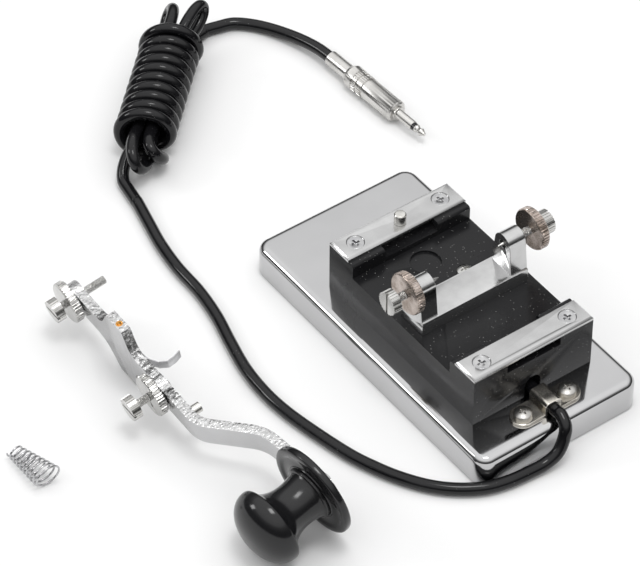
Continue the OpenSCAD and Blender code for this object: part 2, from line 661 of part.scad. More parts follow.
// first bend turns down about a centre under the bar, second turns back about one above it
bend1 = [bend_start, bar_top - bend_r1];
end_slope = [cos(knob_lean), -sin(knob_lean)];
seat_pt = [knob_reach, knob_seat];
slope_pt = bend1 + bend_r1 * [sin(bend_slope), cos(bend_slope)];
// where the slanted stretch meets the second bend, so that the end runs through the knob's seat
turn = bend_slope - knob_lean;
cross_len = bend_r2 * tan(turn / 2);
meet_d = seat_pt - slope_pt;
slope_dir = [cos(bend_slope), -sin(bend_slope)];
meet_k = (meet_d[0] * end_slope[1] - meet_d[1] * end_slope[0])
  / (slope_dir[0] * end_slope[1] - slope_dir[1] * end_slope[0]);
corner = slope_pt + slope_dir * meet_k;
bend2_in = corner - slope_dir * cross_len;
bend2 = bend2_in + bend_r2 * [sin(bend_slope), cos(bend_slope)];
bar_end = knob_reach + 6;
function bar_edge(off) = concat([[-60, bar_top - off]],
  arc2(bend1, bend_r1 - off, 90, 90 - bend_slope, 6),
  arc2(bend2, bend_r2 + off, 270 - bend_slope, 270 - knob_lean, 6),
  [seat_pt + end_slope * 30 - off * [sin(knob_lean), cos(knob_lean)]]);
bar_plan = [[-gap_reach - 5.6, arm_w - 1], [-gap_reach - 4.6, arm_w], [-15, arm_w], [-11.5, arm_w + 1.6],
  [-8.6, arm_w + 4.8], [-6.6, lug_w - 1.6], [-5.4, lug_w], [3.6, lug_w], [4.8, lug_w - 1.4],
  [5.4, arm_w + 4.4], [6.8, arm_w + 1.4], [9.6, arm_w + 0.2], [30, arm_w], [bar_end - 4.2, arm_w],
  [bar_end - 1.3, arm_w - 1.2], [bar_end, arm_w - 3.6]];

module lever_bar() color("gainsboro") in_lever() difference() {
  union() {
    intersection() {
      rotate([90, 0, 0]) linear_extrude(2 * lug_w + 2, center = true)
        polygon(concat(bar_edge(0), [for (i = [len(bar_edge(bar_t)) - 1:-1:0]) bar_edge(bar_t)[i]]));
      translate([0, 0, -40]) linear_extrude(60)
        polygon(concat(bar_plan, [for (i = [len(bar_plan) - 1:-1:0]) [bar_plan[i][0], -bar_plan[i][1]]]));
    }
    for (x = [-gap_reach, spring_reach]) translate([x, 0, bar_low])
      cylinder(r = boss_r, h = bar_t + boss_t);
    translate([spring_reach, 0, bar_low]) cylinder(r = boss_r + 1.6, h = bar_t);
  }
  for (x = [-gap_reach, spring_reach]) translate([x, 0, -10]) cylinder(r = hole_r, h = 20);
  for (s = [-1, 1]) rotate([-90 * s, 0, 0]) translate([0, 0, lug_w - bush_l])
    cylinder(r = bush_r + 0.03, h = bush_l + 5);
  translate([contact_reach, 0, -10]) cylinder(r = 1.05, h = 20);
  translate([leaf_at, 0, -10]) cylinder(r = 1.05, h = 20);
  translate([knob_reach, 0, knob_seat]) rotate([0, knob_lean, 0])
    translate([0, 0, -10]) cylinder(r = hole_r, h = 20);
}

module lever_contact() color([0.85, 0.83, 0.78]) in_lever() translate([contact_reach, 0, bar_low]) {
  translate([0, 0, -contact_len]) cylinder(r = 1.85, h = contact_len);
  cylinder(r = 1, h = bar_t - 0.6);
}

leaf_at = -3;
leaf_t = 0.35;
leaf_w = 3.4;
leaf_under = bar_low - leaf_t;
leaf_line = [[leaf_at - 2.8, leaf_under], [leaf_at + 5, leaf_under], [9, leaf_under - 0.9],
  [12.4, leaf_under - 2.6], [14.2, leaf_under - 5.2], [14, leaf_under - 8], [13, leaf_under - 10.6]];
function leaf_normal(i) = let (a = leaf_line[max(i - 1, 0)], b = leaf_line[min(i + 1, len(leaf_line) - 1)],
  d = (b - a) / norm(b - a)) [-d[1], d[0]];
module leaf_spring() color("silver") in_lever() difference() {
  rotate([90, 0, 0]) linear_extrude(leaf_w, center = true) polygon(concat(leaf_line,
    [for (i = [len(leaf_line) - 1:-1:0]) leaf_line[i] + leaf_t * leaf_normal(i)]));
  translate([leaf_at, 0, -10]) cylinder(r = 1.1, h = 20);
}

module leaf_screw() color("silver") in_lever() translate([leaf_at, 0, leaf_under - 0.05]) {
  mirror([0, 0, 1]) difference() {
    cylinder(r1 = 2.3, r2 = 1.8, h = 1.4);
    translate([-3, -0.3, 0.9]) cube([6, 0.6, 2]);
  }
  cylinder(r = 1, h = bar_t - 0.4);
}

// Knob, rim and skirt, in the knob's frame: z up from the bar
module knob_skirt() color([0.1, 0.1, 0.1]) in_knob() difference() {
  rotate_extrude($fn = 96) polygon([[0, 0], [skirt_d / 2 - 0.9, 0], [skirt_d / 2, 0.9],
    [skirt_d / 2, skirt_t - 0.8], [skirt_d / 2 - 0.7, skirt_t], [skirt_d / 2 - 2.4, skirt_t],
    [skirt_d / 2 - 3.4, skirt_t - 0.5], [hub_r, skirt_t - 0.5], [hub_r, skirt_t], [0, skirt_t]]);
  translate([0, 0, -1]) cylinder(r = hole_r, h = 10);
}
hub_r = 10.2;
neck_r = neck_d / 2;
rim_r = rim_d / 2;
neck_at = 7;           // height of the narrowest neck above the skirt
knob_profile = concat([[0, 0], [9.6, 0], [9.6, 1.1], [9, 1.3]],
  [for (i = [0:5]) let (t = i / 5) [neck_r + 0.9 * pow(1 - t, 2), 1.3 + (neck_at - 1.3) * t]],
  [for (i = [1:8]) let (t = i / 8) [neck_r + (rim_r - 1 - neck_r) * (1 - sqrt(1 - t * t * 0.96)) / 0.8,
    neck_at + (rim_h - 1.6 - neck_at) * t]],
  [[rim_r - 0.3, rim_h - 1.2], [rim_r, rim_h - 0.6], [rim_r, rim_h]],
  [for (i = [1:10]) let (a = 90 * i / 10) [rim_r * pow(cos(a), 0.9), rim_h + dome_h * sin(a)]]);
module knob() color([0.1, 0.1, 0.1]) in_knob() translate([0, 0, skirt_t]) difference() {
  rotate_extrude($fn = 96) polygon(knob_profile);
  translate([0, 0, -1]) cylinder(r = hole_r, h = knob_grip + 3);
}

knob_grip = 10;        // how far the screw goes into the knob
module knob_screw() color("silver") in_knob() translate([0, 0, -bar_t]) mirror([0, 0, 1])
  pan_screw(bracket_head_r, bracket_head_t, bar_t + skirt_t + knob_grip);

module at_gap() in_lever() translate([-gap_reach, 0, 0]) children();
module at_tension() in_lever() translate([spring_reach, 0, 0]) children();
gap_head_z = 7.5;
tension_head_z = 10.4;
module gap_nut() color("gainsboro") at_gap() translate([0, 0, nut_seat + fit]) lock_nut();
module gap_screw() color("gainsboro") at_gap() translate([0, 0, gap_head_z]) thumbscrew(lever_screw_len, 0);
module tension_nut() color("gainsboro") at_tension() translate([0, 0, nut_seat + fit]) lock_nut();
module tension_screw() color("gainsboro") at_tension()
  translate([0, 0, tension_head_z]) thumbscrew(tension_head_z - bar_low + 1.2, 0);

// Conical spring, lying on its side beside the lever
spring_at = [148.2, -19.8];
spring_steps = 8 * spring_turns;
spring_r0 = (spring_big_d - wire_d) / 2;
spring_r1 = (spring_small_d - wire_d) / 2;
spring_tilt = asin((spring_r0 - spring_r1) / (spring_len - wire_d));
spring_points = [for (i = [0:spring_steps]) let (k = i / spring_steps, a = 45 * i,
    r = spring_r0 + (spring_r1 - spring_r0) * k, x = r * cos(a), z = r * sin(a),
    y = -(spring_len - wire_d) * k)
  [spring_at[0] + x - 0.09 * y, spring_at[1] + y * cos(spring_tilt) + z * sin(spring_tilt),
    spring_r0 + wire_d / 2 + 0.05 + z * cos(spring_tilt) + y * sin(spring_tilt)]];
module return_spring() color("silver") tube(spring_points, wire_d / 2, 6, [0, 1, 0]);

echo(hank_ends = [hank_points[0], hank_points[len(hank_points) - 1]]);
echo(hank_self_gap = least_gap(hank_points, cord_d, 9));
echo(spring_self_gap = least_gap(spring_points, wire_d, 5));

base_shell();
base_pad();
block_screws();
insulator_block();
front_contact_plate();
rear_stop_plate();
plate_screws();
contact_stud();
stud_nut();
bracket();
bracket_screws();
leaf_terminal();
contact_lead();
bracket_lead();
cord_clamp();
clamp_screws();
clamp_nuts();
cord_inner();
cord_run();
cord_hank();
cord_tail();
plug_sleeve();
plug_shell();
plug_shaft();
plug_ring();
plug_tip();
left_pivot_nut();
left_pivot_screw();
right_pivot_nut();
right_pivot_screw();
pivot_bushes();
lever_bar();
lever_contact();
leaf_spring();
leaf_screw();
knob();
knob_skirt();
knob_screw();
gap_nut();
gap_screw();
tension_nut();
tension_screw();
return_spring();
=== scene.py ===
from math import asin, cos, pi, radians, sin, sqrt, tan

import bmesh
import bpy
from mathutils import Euler, Matrix, Vector


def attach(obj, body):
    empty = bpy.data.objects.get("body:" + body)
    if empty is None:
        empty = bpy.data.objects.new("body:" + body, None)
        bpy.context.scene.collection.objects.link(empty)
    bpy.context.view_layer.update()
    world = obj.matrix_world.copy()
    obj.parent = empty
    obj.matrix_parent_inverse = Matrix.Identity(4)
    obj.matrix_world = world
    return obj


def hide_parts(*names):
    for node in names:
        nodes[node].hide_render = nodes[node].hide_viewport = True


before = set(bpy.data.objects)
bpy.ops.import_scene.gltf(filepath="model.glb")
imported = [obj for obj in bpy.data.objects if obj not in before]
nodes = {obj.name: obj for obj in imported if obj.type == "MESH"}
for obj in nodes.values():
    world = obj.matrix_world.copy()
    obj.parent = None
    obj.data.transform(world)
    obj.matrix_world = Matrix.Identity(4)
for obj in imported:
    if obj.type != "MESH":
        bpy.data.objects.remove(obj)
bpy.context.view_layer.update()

mm = 0.001
# points closer than this are one: on a lathed piece, and on a copy of a solid
fine = {"lathed": 0.002, "copied": 0.003}


# Working helpers
def only(obj):
    # makes it the one selected and active object
    bpy.ops.object.select_all(action="DESELECT")
    obj.select_set(True)
    bpy.context.view_layer.objects.active = obj


def modify(obj, kind, **values):
    mod = obj.modifiers.new(kind.title(), kind)
    for key, value in values.items():
        setattr(mod, key, value)
    only(obj)
    bpy.ops.object.modifier_apply(modifier=mod.name)


def roundEdges(obj, width, segments, angle):
    modify(obj, "BEVEL", width=width * mm, segments=segments, limit_method="ANGLE",
           angle_limit=radians(angle), harden_normals=False)


def smoothOver(obj, angle):
    only(obj)
    bpy.ops.object.shade_smooth_by_angle(angle=radians(angle))


def pick(obj, kind, test):
    # selects what passes the test, in edit mode
    mesh = bmesh.from_edit_mesh(obj.data)
    bpy.ops.mesh.select_all(action="DESELECT")
    mesh.select_mode = {kind}
    for item in {"VERT": mesh.verts, "EDGE": mesh.edges, "FACE": mesh.faces}[kind]:
        item.select_set(bool(test(item)))
    mesh.select_flush_mode()
    bmesh.update_edit_mesh(obj.data)


def place(obj, matrix):
    # the place goes into the mesh
    obj.matrix_world = matrix @ obj.matrix_world
    only(obj)
    bpy.ops.object.transform_apply(location=True, rotation=True, scale=True)


def lathe(name, profile, steps):
    # a lone point is drawn along the profile, then spun round Z
    bpy.ops.object.select_all(action="DESELECT")
    bpy.ops.mesh.primitive_plane_add(size=mm, location=(0, 0, 0))
    obj = bpy.context.object
    obj.name = name
    bpy.ops.object.mode_set(mode="EDIT")
    bpy.ops.mesh.select_all(action="SELECT")
    bpy.ops.mesh.merge(type="CENTER")
    first = profile[0]
    bpy.ops.transform.translate(value=(first[0] * mm, 0, first[1] * mm))
    for a, b in zip(profile, profile[1:]):
        bpy.ops.mesh.extrude_region_move(
            TRANSFORM_OT_translate={"value": ((b[0] - a[0]) * mm, 0, (b[1] - a[1]) * mm)})
    bpy.ops.mesh.select_all(action="SELECT")
    bpy.ops.mesh.spin(steps=steps, angle=2 * pi, center=(0, 0, 0), axis=(0, 0, 1))
    bpy.ops.mesh.select_all(action="SELECT")
    bpy.ops.mesh.remove_doubles(threshold=fine["lathed"] * mm)
    bpy.ops.mesh.normals_make_consistent(inside=False)
    bpy.ops.object.mode_set(mode="OBJECT")
    return obj


def cutAway(obj, tool):
    modify(obj, "BOOLEAN", operation="DIFFERENCE", object=tool, solver="EXACT")
    bpy.data.objects.remove(tool)


def rod(radius, low, high, matrix, sides=48):
    # a cylinder from low to high along the matrix's Z
    bpy.ops.object.select_all(action="DESELECT")
    bpy.ops.mesh.primitive_cylinder_add(vertices=sides, radius=radius * mm, depth=(high - low) * mm,
                                        location=(0, 0, (low + high) / 2 * mm))
    obj = bpy.context.object
    place(obj, matrix)
    return obj


def paint(obj, material):
    obj.data.materials.clear()
    obj.data.materials.append(material)


# Camera, as the photograph was taken
viewpoint = {"azimuth": 143.69, "elevation": 44.963, "roll": 0.251, "across": -42.173, "up": 17.63,
             "distance": 1390.845, "lens": 228.42, "sensor": 36, "farthest": 20}


def makeCamera():
    # looks past the frame's origin, set off across and up from it, with a little roll
    az, el = radians(viewpoint["azimuth"]), radians(viewpoint["elevation"])
    back = Vector((sin(az) * cos(el), -cos(az) * cos(el), sin(el)))
    right = Vector((0, 0, 1)).cross(back).normalized()
    up = back.cross(right)
    roll = radians(viewpoint["roll"])
    right, up = right * cos(roll) + up * sin(roll), up * cos(roll) - right * sin(roll)
    eye = (right * viewpoint["across"] + up * viewpoint["up"] + back * viewpoint["distance"]) * mm
    data = bpy.data.cameras.new("photoCamera")
    data.lens = viewpoint["lens"]
    data.sensor_width = viewpoint["sensor"]
    data.sensor_fit = "HORIZONTAL"
    data.clip_end = viewpoint["farthest"]
    camera = bpy.data.objects.new("photoCamera", data)
    bpy.context.scene.collection.objects.link(camera)
    turn = Matrix((right, up, back)).transposed().to_4x4()
    camera.matrix_world = Matrix.Translation(eye) @ turn
    bpy.context.scene.camera = camera


makeCamera()
print("camera set")


# Shared shader groups: film and grain are noises, dust is a scatter of small cells
pattern = {"filmDetail": 3, "grainDetail": 2, "low": 0.3, "high": 0.7, "rarity": 0.72}


def newGroup(name, inputs, outputs):
    group = bpy.data.node_groups.new(name, "ShaderNodeTree")
    for label in inputs:
        group.interface.new_socket(label, in_out="INPUT", socket_type="NodeSocketFloat")
    for label in outputs:
        group.interface.new_socket(label, in_out="OUTPUT", socket_type="NodeSocketFloat")
    tree = group.nodes
    return group, tree.new("NodeGroupInput"), tree.new("NodeGroupOutput")


def ramped(group, value, low, high):
    # spreads low to high over 0 to 1
    node = group.nodes.new("ShaderNodeMapRange")
    node.inputs["From Min"].default_value = low
    node.inputs["From Max"].default_value = high
    group.links.new(value, node.inputs["Value"])
    return node.outputs["Result"]


def makeGrain():
    # two noises in the piece's own space, spread to run from 0 to 1
    group, source, out = newGroup("surfaceGrain", ["Film Scale", "Grain Scale"], ["Film", "Grain"])
    where = group.nodes.new("ShaderNodeTexCoord")
    for label, key, detail in (("Film Scale", "Film", "filmDetail"),
                               ("Grain Scale", "Grain", "grainDetail")):
        noise = group.nodes.new("ShaderNodeTexNoise")
        noise.inputs["Detail"].default_value = pattern[detail]
        group.links.new(where.outputs["Object"], noise.inputs["Vector"])
        group.links.new(source.outputs[label], noise.inputs["Scale"])
        level = ramped(group, noise.outputs["Fac"], pattern["low"], pattern["high"])
        group.links.new(level, out.inputs[key])
    return group


def makeSpecks():
    # small round cells, most of them left out
    group, source, out = newGroup("dustSpecks", ["Scale", "Size"], ["Mask"])
    where = group.nodes.new("ShaderNodeTexCoord")
    cells = group.nodes.new("ShaderNodeTexVoronoi")
    cells.inputs["Randomness"].default_value = 1
    group.links.new(where.outputs["Object"], cells.inputs["Vector"])
    group.links.new(source.outputs["Scale"], cells.inputs["Scale"])
    near = group.nodes.new("ShaderNodeMath")
    near.operation = "LESS_THAN"
    group.links.new(cells.outputs["Distance"], near.inputs[0])
    group.links.new(source.outputs["Size"], near.inputs[1])
    split = group.nodes.new("ShaderNodeSeparateColor")
    group.links.new(cells.outputs["Color"], split.inputs["Color"])
    rare = group.nodes.new("ShaderNodeMath")
    rare.operation = "GREATER_THAN"
    rare.inputs[1].default_value = pattern["rarity"]
    group.links.new(split.outputs["Red"], rare.inputs[0])
    both = group.nodes.new("ShaderNodeMath")
    both.operation = "MULTIPLY"
    group.links.new(near.outputs[0], both.inputs[0])
    group.links.new(rare.outputs[0], both.inputs[1])
    group.links.new(both.outputs[0], out.inputs["Mask"])
    return group


grainGroup = makeGrain()
speckGroup = makeSpecks()


# Materials: colour and roughness vary with the film, and the grain is a bump
usual = {"metallic": 0, "ior": 1.5, "film": 90, "grain": 1500, "bump": 0.1, "depth": 0.02}
dustColour = (0.32, 0.32, 0.31, 1)


def makeMaterial(name, look):
    look = {**usual, **look}
    material = bpy.data.materials.new(name)
    material.use_nodes = True
    tree = material.node_tree
    shader = tree.nodes["Principled BSDF"]
    shader.inputs["Metallic"].default_value = look["metallic"]
    shader.inputs["IOR"].default_value = look["ior"]
    grain = tree.nodes.new("ShaderNodeGroup")
    grain.node_tree = grainGroup
    grain.inputs["Film Scale"].default_value = look["film"]
    grain.inputs["Grain Scale"].default_value = look["grain"]
    colour = tree.nodes.new("ShaderNodeMix")
    colour.data_type = "RGBA"
    colour.inputs["A"].default_value = (*look["colour"], 1)
    colour.inputs["B"].default_value = (*look["second"], 1)
    tree.links.new(grain.outputs["Film"], colour.inputs["Factor"])
    last = colour.outputs["Result"]
    if "dust" in look:
        specks = tree.nodes.new("ShaderNodeGroup")
        specks.node_tree = speckGroup
        specks.inputs["Scale"].default_value = look["dust"]
        specks.inputs["Size"].default_value = look["speck"]
        dusty = tree.nodes.new("ShaderNodeMix")
        dusty.data_type = "RGBA"
        dusty.inputs["B"].default_value = dustColour
        tree.links.new(specks.outputs["Mask"], dusty.inputs["Factor"])
        tree.links.new(last, dusty.inputs["A"])
        last = dusty.outputs["Result"]
    tree.links.new(last, shader.inputs["Base Color"])
    rough = tree.nodes.new("ShaderNodeMapRange")
    rough.inputs["To Min"].default_value = look["rough"][0]
    rough.inputs["To Max"].default_value = look["rough"][1]
    tree.links.new(grain.outputs["Film"], rough.inputs["Value"])
    tree.links.new(rough.outputs["Result"], shader.inputs["Roughness"])
    bump = tree.nodes.new("ShaderNodeBump")
    bump.inputs["Strength"].default_value = look["bump"]
    bump.inputs["Distance"].default_value = look["depth"] * mm
    tree.links.new(grain.outputs["Grain"], bump.inputs["Height"])
    tree.links.new(bump.outputs["Normal"], shader.inputs["Normal"])
    return material


looks = {
    "mirrorChrome": {"colour": (0.55, 0.55, 0.555), "second": (0.51, 0.51, 0.515), "metallic": 1,
                     "rough": (0.05, 0.10), "film": 40, "grain": 900, "bump": 0.05, "depth": 0.01},
    "brushedChrome": {"colour": (0.60, 0.60, 0.60), "second": (0.52, 0.52, 0.52), "metallic": 1,
                      "rough": (0.10, 0.17), "film": 160, "grain": 2500, "bump": 0.1},
    "satinChrome": {"colour": (0.56, 0.56, 0.56), "second": (0.50, 0.50, 0.50), "metallic": 1,
                    "rough": (0.16, 0.24), "film": 120, "grain": 2500, "bump": 0.1},
    "brightNickel": {"colour": (0.62, 0.615, 0.60), "second": (0.50, 0.495, 0.48), "metallic": 1,
                     "rough": (0.12, 0.22), "film": 260, "grain": 2600, "bump": 0.1},
    "plugNickel": {"colour": (0.68, 0.67, 0.65), "second": (0.58, 0.57, 0.55), "metallic": 1,
                   "rough": (0.24, 0.32), "film": 220, "grain": 2600, "bump": 0.1},
    "screwNickel": {"colour": (0.56, 0.55, 0.53), "second": (0.42, 0.41, 0.39), "metallic": 1,
                    "rough": (0.28, 0.38), "film": 260, "grain": 2600, "bump": 0.1},
    "warmNickel": {"colour": (0.80, 0.77, 0.71), "second": (0.68, 0.64, 0.57), "metallic": 1,
                   "rough": (0.12, 0.22), "film": 200, "grain": 2200, "bump": 0.1},
    "tarnishedNickel": {"colour": (0.56, 0.49, 0.45), "second": (0.32, 0.26, 0.22), "metallic": 1,
                        "rough": (0.16, 0.30), "film": 300, "grain": 2400, "bump": 0.14},
    "zincSteel": {"colour": (0.60, 0.60, 0.60), "second": (0.45, 0.45, 0.46), "metallic": 1,
                  "rough": (0.16, 0.26), "film": 300, "grain": 2400, "bump": 0.1},
    "springWire": {"colour": (0.60, 0.60, 0.61), "second": (0.42, 0.42, 0.43), "metallic": 1,
                   "rough": (0.10, 0.20), "film": 400, "grain": 3000, "bump": 0.1},
    "castTop": {"colour": (0.58, 0.58, 0.585), "second": (0.52, 0.52, 0.525), "metallic": 1,
                "rough": (0.16, 0.24), "film": 70, "grain": 1400, "bump": 0.08},
    # cast flanks: a real cast ripple bump, and a tone lighter than the top that is painted light
    "castSidePaintedLight": {"colour": (0.74, 0.74, 0.74), "second": (0.52, 0.52, 0.52), "metallic": 1,
                 "rough": (0.10, 0.18), "film": 800, "grain": 950, "bump": 0.9, "depth": 0.2},
    # pitted stretches: real pits as a bump, with near-white and near-black blotches that are painted
    # highlights and painted shade
    "castPittedPaintedLight": {"colour": (0.80, 0.80, 0.80), "second": (0.03, 0.03, 0.03), "metallic": 1,
                   "rough": (0.10, 0.22), "film": 620, "grain": 800, "bump": 1, "depth": 0.3},
    "turnedBrass": {"colour": (0.86, 0.50, 0.16), "second": (0.70, 0.36, 0.10), "metallic": 1,
                    "rough": (0.2, 0.3), "film": 500, "grain": 3000, "bump": 0.1},
    "contactMetal": {"colour": (0.74, 0.73, 0.70), "second": (0.60, 0.59, 0.56), "metallic": 1,
                     "rough": (0.18, 0.3), "film": 400, "grain": 3000, "bump": 0.1},
    "blackMoulding": {"colour": (0.008, 0.008, 0.009), "second": (0.014, 0.014, 0.015), "ior": 1.34,
                      "rough": (0.20, 0.30), "film": 60, "grain": 1800, "bump": 0.08,
                      "dust": 1100, "speck": 0.14},
    "knobBlack": {"colour": (0.008, 0.008, 0.009), "second": (0.013, 0.013, 0.014),
                  "rough": (0.12, 0.20), "film": 50, "grain": 1500, "bump": 0.04, "ior": 1.46},
    "cordJacket": {"colour": (0.005, 0.005, 0.006), "second": (0.010, 0.010, 0.011), "ior": 1.40,
                   "rough": (0.09, 0.17), "film": 110, "grain": 1600, "bump": 0.06,
                   "dust": 900, "speck": 0.08},
    "rubberPad": {"colour": (0.030, 0.030, 0.030), "second": (0.050, 0.050, 0.050),
                  "rough": (0.65, 0.8), "film": 200, "grain": 2600, "bump": 0.5, "depth": 0.05},
    "redSleeving": {"colour": (0.50, 0.03, 0.02), "second": (0.40, 0.02, 0.02),
                    "rough": (0.35, 0.5)},
    "whiteSleeving": {"colour": (0.78, 0.77, 0.72), "second": (0.70, 0.69, 0.64),
                      "rough": (0.35, 0.5)},
}
materials = {name: makeMaterial(name, look) for name, look in looks.items()}
print("materials made:", len(materials))


# Cord: one length from the clamp round the base, through the hank and on to the plug
cord = {"radius": 2.25, "exit": (0, 59.75, 14.55),
        "run": [(0, 61.75, 14.55), (0, 63.75, 14.55), (0.9, 67.4, 12.6), (2.6, 68.8, 9),
                (5.8, 69.8, 5.2), (10.6, 69.6, 2.9), (17, 69.1, 2.3), (25, 68.3, 2.3),
                (33, 66, 2.3), (41, 60.9, 2.3),
                (47.5, 54.4, 2.3), (53, 46, 2.3), (57, 37.5, 2.3), (60.4, 28, 2.3), (63.6, 14, 2.3),
                (66, 0, 2.3), (66.6, -12, 2.3), (65.4, -25, 2.3), (62.4, -38, 2.3), (59, -51, 2.3),
                (57, -64, 2.3), (56.4, -78, 2.3), (54.6, -91, 2.3), (52, -102, 2.3),
                (49.4, -112.6, 2.3)],
        "tail": [(-27.6, -173.4, 2.3), (-33.4, -171.6, 2.3), (-38.6, -166.8, 2.3),
                 (-42.6, -160.6, 2.6), (-45.6, -153.6, 3.2), (-47.8, -146.4, 3.9),
                 (-49.2, -139.6, 4.35)],
        "plug": (-49.9, -132.9, 4.4),
        "straight": (0, 2, 4), "steps": 6, "closest": 0.05, "roundness": 5}
hank = {"at": (33, -132.6), "along": (-0.721, -0.693), "step": 5, "turns": 10, "across": 8.9,
        "upright": 8.4, "strand": 2.5, "first": -90, "foot": 0.04, "swell": 0.11, "short": 70,
        "spare": 1, "lift": 0.05, "lead": 16, "leave": 6, "tangent": 3, "windStep": 7.5,
        "foldSteps": 28, "endSteps": 16, "strandSteps": 6}


def bezier(a, b, c, d, count):
    # from a to d with handles b and c, without its last point
    a, b, c, d = Vector(a), Vector(b), Vector(c), Vector(d)
    points = []
    for i in range(count):
        t = i / count
        points.append(a * (1 - t)**3 + 3 * b * t * (1 - t)**2 + 3 * c * t * t * (1 - t) + d * t**3)
    return points


def flow(points, count):
    # a smooth line through the points, with count steps from each to the next
    points = [Vector(p) for p in points]
    out = []
    for i in range(len(points) - 1):
        a, b, c = points[max(i - 1, 0)], points[i], points[i + 1]
        d = points[min(i + 2, len(points) - 1)]
        for j in range(count):
            t = j / count
            out.append(0.5 * (2 * b + (c - a) * t + (2 * a - 5 * b + 4 * c - d) * t * t
                              + (3 * b - a - 3 * c + d) * t**3))
    return out + [points[-1]]


def hankPoints():
    s, rv, ru = hank["strand"], hank["upright"], hank["across"]
    end = hank["turns"] * hank["step"] + hank["spare"]
    full = 360 * hank["turns"] - hank["short"]
    folding, ending, winding = hank["foldSteps"], hank["endSteps"], hank["windStep"]

    def wound(angle):
        # the winding swells a little over its first ninth and more over its last eighth
        t, turn = angle / full, radians(hank["first"] - angle)
        swell = hank["foot"] * max(0, 1 - 9 * t) + hank["swell"] * max(0, min(1, 8 * t - 7))
        return Vector((hank["step"] * angle / 360, ru * (1 + swell) * cos(turn),
                       rv * sin(turn) + rv * swell * (1 + sin(turn))))

    def straight(y, z, back):
        steps = [i / hank["strandSteps"] for i in range(hank["strandSteps"])]
        return [Vector((end * (1 - t if back else t), y, z)) for t in steps]

    lead = hank["lead"] * (wound(hank["tangent"]) - wound(0)).normalized()
    leave = hank["leave"] * (wound(full) - wound(full - hank["tangent"])).normalized()
    # in at the near end, along each strand and round a fold, up into the winding, out at the far end
    path = [Vector((-21, -0.5, -rv))]
    path += bezier((-17, -3.5, -rv), (-13, -6.5, -rv), (-8, -5.5, -s), (0, -s, -s), ending)
    path += straight(-s, -s, False)
    path += bezier((end, -s, -s), (end + 21, -10, -9), (end + 21, 1, 12), (end, -s, s), folding)
    path += straight(-s, s, True)
    path += bezier((0, -s, s), (-20, -3.5, 10), (-20, 4.5, -10), (0, s, -s), folding)
    path += straight(s, -s, False)
    path += bezier((end, s, -s), (end + 22, 12, -3), (end + 22, 8, 14), (end, s, s), folding)
    path += straight(s, s, True)
    path += bezier((0, s, s), (-19, s, 6), wound(0) - lead, wound(0), folding)
    path += [wound(i * winding) for i in range(int(full / winding) + 1) if i * winding < full]
    path += bezier(wound(full), wound(full) + leave, (end + 5, 1.6, -rv), (end + 11.5, 4.4, -rv),
                   ending)
    path += [Vector((end + 11.5, 4.4, -rv)), Vector((end + 15, 6.6, -rv))]
    along, middle = hank["along"], rv + cord["radius"] + hank["lift"]
    side = (-along[1], along[0])
    return [Vector((hank["at"][0] + along[0] * q.x - side[0] * q.y,
                    hank["at"][1] + along[1] * q.x - side[1] * q.y, middle + q.z)) for q in path]


def drawTube(name, points, radius, material, roundness):
    data = bpy.data.curves.new(name, "CURVE")
    data.dimensions = "3D"
    data.bevel_depth = radius * mm
    data.bevel_resolution = roundness
    data.use_fill_caps = True
    spline = data.splines.new("POLY")
    spline.points.add(len(points) - 1)
    for point, p in zip(spline.points, points):
        point.co = (p[0] * mm, p[1] * mm, p[2] * mm, 1)
    spline.use_smooth = True
    obj = bpy.data.objects.new(name, data)
    bpy.context.scene.collection.objects.link(obj)
    data.materials.append(material)
    return obj


def makeCord():
    knot = hankPoints()
    # the free stretches run straight where they meet the hank
    into = (knot[1] - knot[0]).normalized()
    out = (knot[-1] - knot[-2]).normalized()
    straight, steps = cord["straight"], cord["steps"]
    run = flow([cord["exit"], *cord["run"], *[knot[0] - d * into for d in straight[::-1]]], steps)
    tail = flow([*[knot[-1] + d * out for d in straight], *cord["tail"], cord["plug"]], steps)
    line = run[:-1] + knot + tail[1:]
    line = [p for i, p in enumerate(line)
            if i == 0 or (p - line[i - 1]).length > cord["closest"]]
    obj = drawTube("cord", line, cord["radius"], materials["cordJacket"], cord["roundness"])
    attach(obj, "base")
    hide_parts("cord_run", "cord_hank", "cord_tail")


makeCord()


# Pieces that keep the shape of their solid, most of them with broken edges
# edges that turn by more than "over" degrees are rounded, and faces within "flat" degrees are one
broken = {"segments": 2, "over": 35, "flat": 0.8, "smooth": 24}


def dress(node, name, body, material, edge):
    # a merged copy of the node's own surface, its edges rounded by edge mm
    data = nodes[node].data.copy()
    obj = bpy.data.objects.new(name, data)
    bpy.context.scene.collection.objects.link(obj)
    only(obj)
    bpy.ops.object.mode_set(mode="EDIT")
    bpy.ops.mesh.select_all(action="SELECT")
    bpy.ops.mesh.remove_doubles(threshold=fine["copied"] * mm)
    bpy.ops.mesh.dissolve_limited(angle_limit=radians(broken["flat"]))
    bpy.ops.object.mode_set(mode="OBJECT")
    if edge:
        roundEdges(obj, edge, broken["segments"], broken["over"])
    paint(obj, materials[material])
    smoothOver(obj, broken["smooth"])
    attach(obj, body)
    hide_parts(node)


